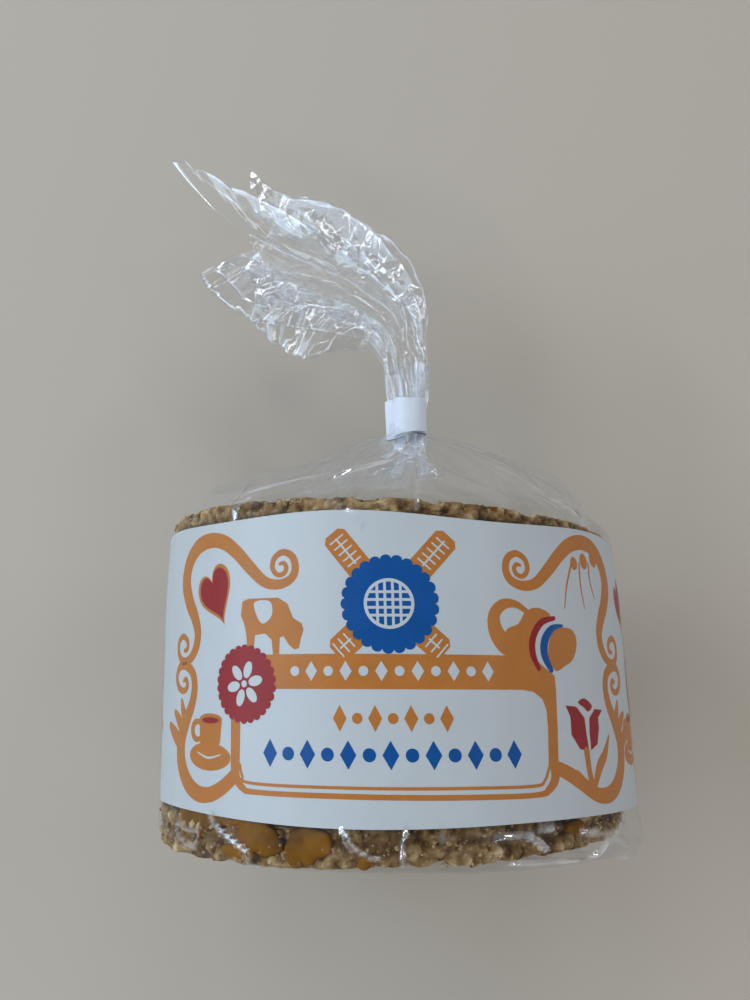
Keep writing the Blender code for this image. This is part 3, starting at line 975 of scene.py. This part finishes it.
def gridMesh(name, points):               # rows of points round a tube, as one sheet
    rows, around = points.shape[:2]
    index = np.arange(rows * around).reshape(rows, around)
    across = np.roll(index, -1, axis=1)
    faces = np.stack([index[:-1], across[:-1], across[1:], index[1:]], axis=-1).reshape(-1, 4)
    mesh = bpy.data.meshes.new(name)
    mesh.from_pydata((points.reshape(-1, 3) * mm).tolist(), [], faces.tolist())
    mesh.update()
    o = bpy.data.objects.new(name, mesh)
    scene.collection.objects.link(o)
    return o


def finishFilm(o, contact, fold):           # masks: 1 where it lies on the wafels, 1 along sharp folds, where the fold mask paints glints
    setMask(o, "contact", contact)
    setMask(o, "fold", np.clip(fold, 0, 1))
    outwardNormals(o)
    bpy.ops.object.shade_smooth()
    settle(o, "film_bag", film)


def filmRail(rows, spacing):              # rows spread along the table, close together where the film is free
    table = np.asarray(rows, float)
    gaps = np.linalg.norm(np.diff(table[:, [0, 3]], axis=0), axis=1)
    along = np.concatenate([[0], np.cumsum(gaps)])
    wanted, at = [], 0.0
    while at < along[-1]:
        wanted.append(at)
        y = np.interp(at, along, table[:, 0])
        at += spacing if y < -19 or y > 24 else spacing * 4
    wanted.append(along[-1])
    rail = np.stack([np.interp(wanted, along, table[:, k]) for k in range(table.shape[1])], axis=1)
    for _ in range(4):
        rail[1:-1] = (rail[:-2] + 2 * rail[1:-1] + rail[2:]) / 4
    return rail


def addBagFilm():
    look = bagFilm
    rail = filmRail(bagRows, 0.6)
    around = look["around"]
    a = np.linspace(0, 2 * math.pi, around, endpoint=False)[None, :]
    turn = a / (2 * math.pi)
    y, left, right, height = [rail[:, k][:, None] for k in range(4)]
    grown = smoothStep(30, 50, y)
    middle = neckX * grown
    reach = np.where(np.sin(a) > 0, right - middle, left + middle)
    u = np.where(a > math.pi, a - 2 * math.pi, a) * packRadius
    free = smoothStep(25.8, 29, y) + smoothStep(-21.4, -23.5, y)
    free = free * (1 - smoothStep(tapeStart - 3, tapeStart, y))
    # pleats gather towards the neck, each with its own depth and a wandering line
    count = look["pleats"]
    wander = 1.1 * softNoise(turn * 7, y / 12.0, 5, wrap=7)
    pleat = np.abs(((count * turn + wander + 64) % 1) * 2 - 1) * 2 - 1
    gather = smoothStep(27, 46, y) * (1 - smoothStep(tapeStart - 1.5, tapeStart, y))
    depth = gather * look["pleatDepth"] * (0.55 + 0.55 * softNoise(count * turn, y / 20.0, 9, wrap=count))
    bend = 0.35 * softNoise(turn * 30, y / 9.0, 13, wrap=30)
    facet = creaseNoise(turn * 36 + bend, y / look["coarse"], 21, wrap=36) * look["coarseRise"]
    facet = facet + creaseNoise(turn * 72 + bend, y / look["fine"], 31, wrap=72) * look["fineRise"]
    push = pleat * depth + facet * (free * 0.8 + 0.04) + creaseRise(u, y) * np.maximum(free, 0.05)
    x = leanOf(np.clip(y, -30, 30)) + middle + (reach + push) * np.sin(a)
    z = np.maximum(axisHeight + (height + push) * np.cos(a), 0.03 + 0.05 * np.abs(facet))
    points = np.stack([x, y + facet * free * 0.5 + 0 * a, z], axis=-1)
    o = gridMesh("bagFilm", points)
    # the seam closes the bottom: each point of the first row meets the one across from it
    across = (around // 2 - np.arange(around)) % around
    p = getPoints(o)
    p[:around] = (p[:around] + p[:around][across]) / 2
    setPoints(o, p)
    pick(o)
    bpy.ops.object.mode_set(mode="EDIT")
    bpy.ops.mesh.select_all(action="DESELECT")
    sheet = bmesh.from_edit_mesh(o.data)
    sheet.verts.ensure_lookup_table()
    for index in range(around):
        sheet.verts[index].select_set(True)
    bmesh.update_edit_mesh(o.data)
    bpy.ops.mesh.remove_doubles(threshold=0.000001)
    bpy.ops.object.mode_set(mode="OBJECT")
    p = getPoints(o) / mm
    u = np.arctan2(p[:, 0], p[:, 2] - axisHeight) * packRadius
    folded = np.clip(creaseRise(u, p[:, 1]) / 0.8, 0, 1)       # a sharp fold stands off the wafels
    contact = (1 - smoothStep(27.5, 29.5, p[:, 1])) * smoothStep(-30.0, -28.5, p[:, 1]) * (1 - 0.7 * folded)
    # painted glints: the seam, the pleat crests and the sharp creases get a raised gloss share through the
    # fold mask
    seam = smoothStep(-33.6, -34.0, p[:, 1])
    flicker = 0.5 + 0.5 * softNoise(turn * 40, y / 5, 91, wrap=40)
    pleatGlints = smoothStep(0.86, 1.0, pleat) * smoothStep(0.25, 0.9, depth) * flicker
    lines = np.zeros(len(p))
    lines[len(p) - pleatGlints[1:].size:] = pleatGlints[1:].ravel()
    sharp = smoothStep(0.55, 1.0, folded) * 0.7
    finishFilm(o, contact, np.maximum(sharp, np.maximum(seam * 0.5, lines * 0.6)))


# centre x, y, z, half width and half thickness of the loose tail, mm
tailRows = [(3.2, 55.0, 44.5, 3.0, 3.0), (3.2, 60.2, 44.5, 4.6, 3.6), (2.6, 66.0, 44.4, 5.0, 4.6),
            (2.0, 72.0, 43.8, 5.8, 5.6), (0.0, 79.5, 42.5, 8.6, 7.0), (-6.0, 86.5, 40.5, 13.8, 8.0),
            (-14.5, 92.5, 38.0, 17.5, 8.5), (-24.0, 98.5, 35.5, 17.5, 8.0), (-32.5, 104.5, 33.0, 15.0, 6.5)]
# each pleat of the tail: direction in degrees, reach, width in degrees, and run past the mouth in mm
tailPleats = [(30, 0.95, 44, 12.0), (70, 0.95, 46, 33.0), (110, 0.95, 38, -4.0), (148, 0.90, 32, 3.0),
              (176, 0.95, 22, 7.0), (204, 1.30, 52, -9.0), (250, 0.95, 42, 2.0), (290, 0.80, 40, 8.0),
              (325, 0.85, 40, 3.0), (0, 1.00, 32, 4.0)]
tailFilm = dict(around=420, rows=200, valley=0.30)


def addTailFilm():
    look = tailFilm
    around, rows = look["around"], look["rows"]
    rail = evenRows(curveThrough(tailRows, 12), rows, [0, 1, 2])
    centre = rail[:, :3]
    along = np.gradient(centre, axis=0)
    along /= np.linalg.norm(along, axis=1)[:, None]
    side = np.cross(along, np.array([0, 0, 1.0]))
    side /= np.linalg.norm(side, axis=1)[:, None]
    over = np.cross(side, along)
    a = np.linspace(0, 2 * math.pi, around, endpoint=False)[None, :]
    s = np.linspace(0, 1, rows)[:, None]
    width, thick = rail[:, 3][:, None], rail[:, 4][:, None]
    opened = smoothStep(0.08, 0.42, s)
    turn = a / (2 * math.pi)
    # each point's nearest pleat gives the reach, and its run past the mouth
    reach = np.zeros((rows, around))
    run = np.zeros((rows, around))
    crest = np.zeros((rows, around))
    sway = 0.22 * softNoise(turn * 5, s * 3.5, 61, wrap=5) + 0.05 * softNoise(turn * 17, s * 9, 63, wrap=17)
    for degrees, far, wide, past in tailPleats:
        off = (a + sway - math.radians(degrees) + math.pi) % (2 * math.pi) - math.pi
        share = np.clip(1 - np.abs(off) / (math.radians(wide) / 2), 0, 1)
        own = share ** 1.15 * far
        run = np.where(own > reach, past * share ** 0.7, run)
        reach = np.maximum(reach, own)
        crest = np.maximum(crest, share)
    star = look["valley"] + (1 - look["valley"]) * reach
    gathered = 0.90 + 0.12 * np.cos(11 * a + 3 * np.sin(2 * a))
    shape = gathered * (1 - opened) + star * opened
    facet = creaseNoise(turn * 26, s * 12, 45, wrap=26)
    fine = creaseNoise(turn * 64, s * 30, 47, wrap=64)
    shape = shape + opened * (0.10 * facet + 0.035 * fine)
    lift = opened * (1.0 * facet + 0.42 * fine)
    push = smoothStep(0.45, 1.0, s) * run + opened * 0.5 * facet
    points = (centre[:, None, :]
              + side[:, None, :] * (width * shape * np.cos(a))[..., None]
              + over[:, None, :] * (thick * shape * np.sin(a) + lift)[..., None]
              + along[:, None, :] * push[..., None])
    o = gridMesh("tailFilm", points)
    # painted glints: the mouth's edge and the pleat crests get a raised gloss share through the fold mask
    mouth = smoothStep(0.985, 1.0, s) * 0.8
    flicker = 0.55 + 0.45 * softNoise(turn * 50, s * 14, 93, wrap=50)
    fold = opened * smoothStep(0.90, 1.0, crest) * 0.75 * flicker
    finishFilm(o, np.zeros(rows * around), np.maximum(fold, mouth).ravel())


neckFolds = dict(around=260, rows=60, low=43.0, high=68.0, pleats=11, outer=3.5, inner=1.0)


def addNeckFolds():                       # the film's inner folds where it is gathered
    look = neckFolds
    a = np.linspace(0, 2 * math.pi, look["around"], endpoint=False)[None, :]
    y = np.linspace(look["low"], look["high"], look["rows"])[:, None]
    turn = a / (2 * math.pi)
    swing = 0.5 * softNoise(turn * 5, y / 5.0, 71, wrap=5)
    fold = np.abs(((look["pleats"] * turn + swing + 64) % 1) * 2 - 1)
    spread = 1 + 1.3 * smoothStep(49, look["low"], y) ** 1.5 + 0.5 * smoothStep(61, look["high"], y)
    radius = (look["inner"] + (look["outer"] - look["inner"]) * fold) * spread
    radius = radius * (1 + 0.12 * creaseNoise(turn * 24, y / 2.5, 73, wrap=24))
    x = neckX - 0.05 * np.maximum(y - 60, 0) + radius * np.sin(a)
    z = axisHeight + radius * np.cos(a)
    o = gridMesh("neckFolds", np.stack([x, y + 0 * a, z], axis=-1))
    # painted glints along the fold crests through the fold mask
    sharp = 0.4 * smoothStep(0.9, 1.0, fold)
    packed = 0.55 * np.exp(-((y - 52) / 2.6) ** 2)         # milky where the folds are packed under the tape: the packed film's haze, painted as a raised gloss share, a painted sheen
    finishFilm(o, np.zeros(look["around"] * look["rows"]), np.maximum(sharp, packed).ravel())


addBagFilm()
addTailFilm()
addNeckFolds()
print("film blown")


neckTape = dict(thickness=0.3, flag=1.4, flagThickness=0.7, lowLeft=50.8, lowRight=52.0, high=59.6)


def addTape():                            # two turns round the neck, their ends pressed together as a flag
    look = neckTape
    radius = (tapeHigh.z - tapeLow.z) / 2 / mm - 0.1
    deselectAll()
    bpy.ops.mesh.primitive_cylinder_add(vertices=72, radius=radius * mm, depth=8 * mm,
                                        end_fill_type="NOTHING", rotation=(math.pi / 2, 0, 0))
    o = bpy.context.object
    o.name = "neckTape"
    bakeTransform(o)
    pick(o)
    bpy.ops.object.mode_set(mode="EDIT")
    for k in range(1, 10):
        bpy.ops.mesh.select_all(action="SELECT")
        bpy.ops.mesh.bisect(plane_co=(0, (k / 10 - 0.5) * 8 * mm, 0), plane_no=(0, 1, 0))
    bpy.ops.object.mode_set(mode="OBJECT")
    p = getPoints(o) / mm
    turn = np.arctan2(p[:, 2], -p[:, 0])
    share = p[:, 1] / 8 + 0.5
    low = look["lowLeft"] + (look["lowRight"] - look["lowLeft"]) * smoothStep(-radius, radius, p[:, 0])
    high = look["high"] + 0.25 * np.sin(3 * turn)
    pinch = np.exp(-(turn / 0.28) ** 2)
    bulge = 1 + 0.03 * np.sin(5 * turn + share * 3) + 0.02 * np.sin(9 * turn - share * 4)
    bulge = bulge * (0.92 + 0.08 * share)                                  # drawn in at the lower edge
    p[:, 0] = p[:, 0] * bulge - pinch * look["flag"] + neckX
    p[:, 2] = p[:, 2] * bulge * (1 - 0.25 * pinch) + axisHeight
    p[:, 1] = low + (high - low) * share
    setPoints(o, p * mm)
    wall = o.modifiers.new("tape", "SOLIDIFY")
    wall.thickness = look["thickness"] * mm
    wall.offset = -1
    edge = o.modifiers.new("softEdge", "BEVEL")
    edge.width = 0.06 * mm
    edge.segments = 2
    applyModifiers(o)
    # the outer turn's loose end, a second layer over the top
    deselectAll()
    bpy.ops.mesh.primitive_grid_add(x_subdivisions=24, y_subdivisions=8, size=1)
    lap = bpy.context.object
    q = getPoints(lap)
    around = math.radians(150) + (q[:, 0] + 0.5) * math.radians(-120)
    lapRadius = (radius + 0.22) * (1 + 0.01 * np.sin(7 * around))
    lowEdge = look["lowLeft"] + 0.25 + (look["lowRight"] - look["lowLeft"]) * (q[:, 0] + 0.5)
    y = lowEdge + (look["high"] - 0.7 - lowEdge) * (q[:, 1] + 0.5)
    x = neckX + lapRadius * np.cos(around)
    z = axisHeight + lapRadius * np.sin(around)
    setPoints(lap, np.stack([x, y, z], axis=1) * mm)
    wall = lap.modifiers.new("tape", "SOLIDIFY")
    wall.thickness = 0.18 * mm
    applyModifiers(lap)
    o = joinAll([o, lap], "neckTape")
    outwardNormals(o)
    smoothShade(o)
    settle(o, "closure_tape", tapeWhite)


addTape()
print("tape wound")


stageLook = dict(floor=(0.47, 0.425, 0.365), horizon=(0.85, 0.86, 0.88), world=(0.44, 0.445, 0.45),
                 overhead=(0.12, 0.12, 0.125))


def addStage():
    deselectAll()
    bpy.ops.mesh.primitive_plane_add(size=6, location=(0, 0, 0))
    floor = bpy.context.object
    floor.name = "paleFloor"
    material, tree, shader, _ = newMaterial("paleFloor")
    shader.inputs["Base Color"].default_value = (*stageLook["floor"], 1)
    shader.inputs["Roughness"].default_value = 0.9
    floor.data.materials.append(material)
    world = bpy.data.worlds.new("softRoom")
    scene.world = world
    world.use_nodes = True
    tree = world.node_tree
    place = addNode(tree, "ShaderNodeTexCoord")
    split = addNode(tree, "ShaderNodeSeparateXYZ")
    sky = addRamp(tree, [(0.0, stageLook["horizon"]), (0.45, stageLook["world"]),
                         (0.78, stageLook["overhead"])])
    tree.links.new(place.outputs["Generated"], split.inputs["Vector"])
    tree.links.new(split.outputs["Z"], sky.inputs["Fac"])
    tree.links.new(sky.outputs["Color"], tree.nodes["Background"].inputs["Color"])


def addLamp(name, place, target, size, power, color):
    lamp = bpy.data.lights.new(name, "AREA")
    lamp.shape = "RECTANGLE"
    lamp.size, lamp.size_y = size
    lamp.energy = power
    lamp.color = color
    o = bpy.data.objects.new(name, lamp)
    scene.collection.objects.link(o)
    o.location = place
    o.rotation_euler = (Vector(target) - Vector(place)).to_track_quat("-Z", "Y").to_euler()


def addCamera():
    data = bpy.data.cameras.new("camera")
    data.lens = 30.6
    data.sensor_width = 36
    data.clip_start = 0.01
    camera = bpy.data.objects.new("camera", data)
    scene.collection.objects.link(camera)
    camera.location = (-3.9 * mm, -2.75 * mm, 221.2 * mm)
    camera.rotation_euler = (math.radians(12.87), 0, math.radians(0.2))
    scene.camera = camera


addStage()
addLamp("window", (-0.95, 0.20, 0.60), (0, 0, 0.04), (0.9, 0.7), 7.0, (0.63, 0.82, 1.0))
# thin ceiling strips in a ring: azimuth in degrees, reach and height in metres, power in watts
ceilingStrips = [(20, 0.70, 0.85, 0.8), (75, 0.75, 0.80, 1.0), (118, 0.62, 0.90, 1.0), (165, 0.70, 0.95, 0.8),
                 (222, 0.72, 0.80, 1.0), (272, 0.75, 0.85, 1.0), (318, 0.66, 0.90, 0.8)]
for k, (azimuth, reach, rise, power) in enumerate(ceilingStrips):
    turn = math.radians(azimuth)
    place = (reach * math.cos(turn), reach * math.sin(turn), rise)
    addLamp(f"ceilingStrip{k + 1}", place, (0, 0, 0.04), (0.42, 0.05), power * 1.1, (0.97, 0.98, 1.0))
addCamera()
scene.view_settings.view_transform = "Standard"
scene.cycles.transparent_max_bounces = 48
print("stage set")
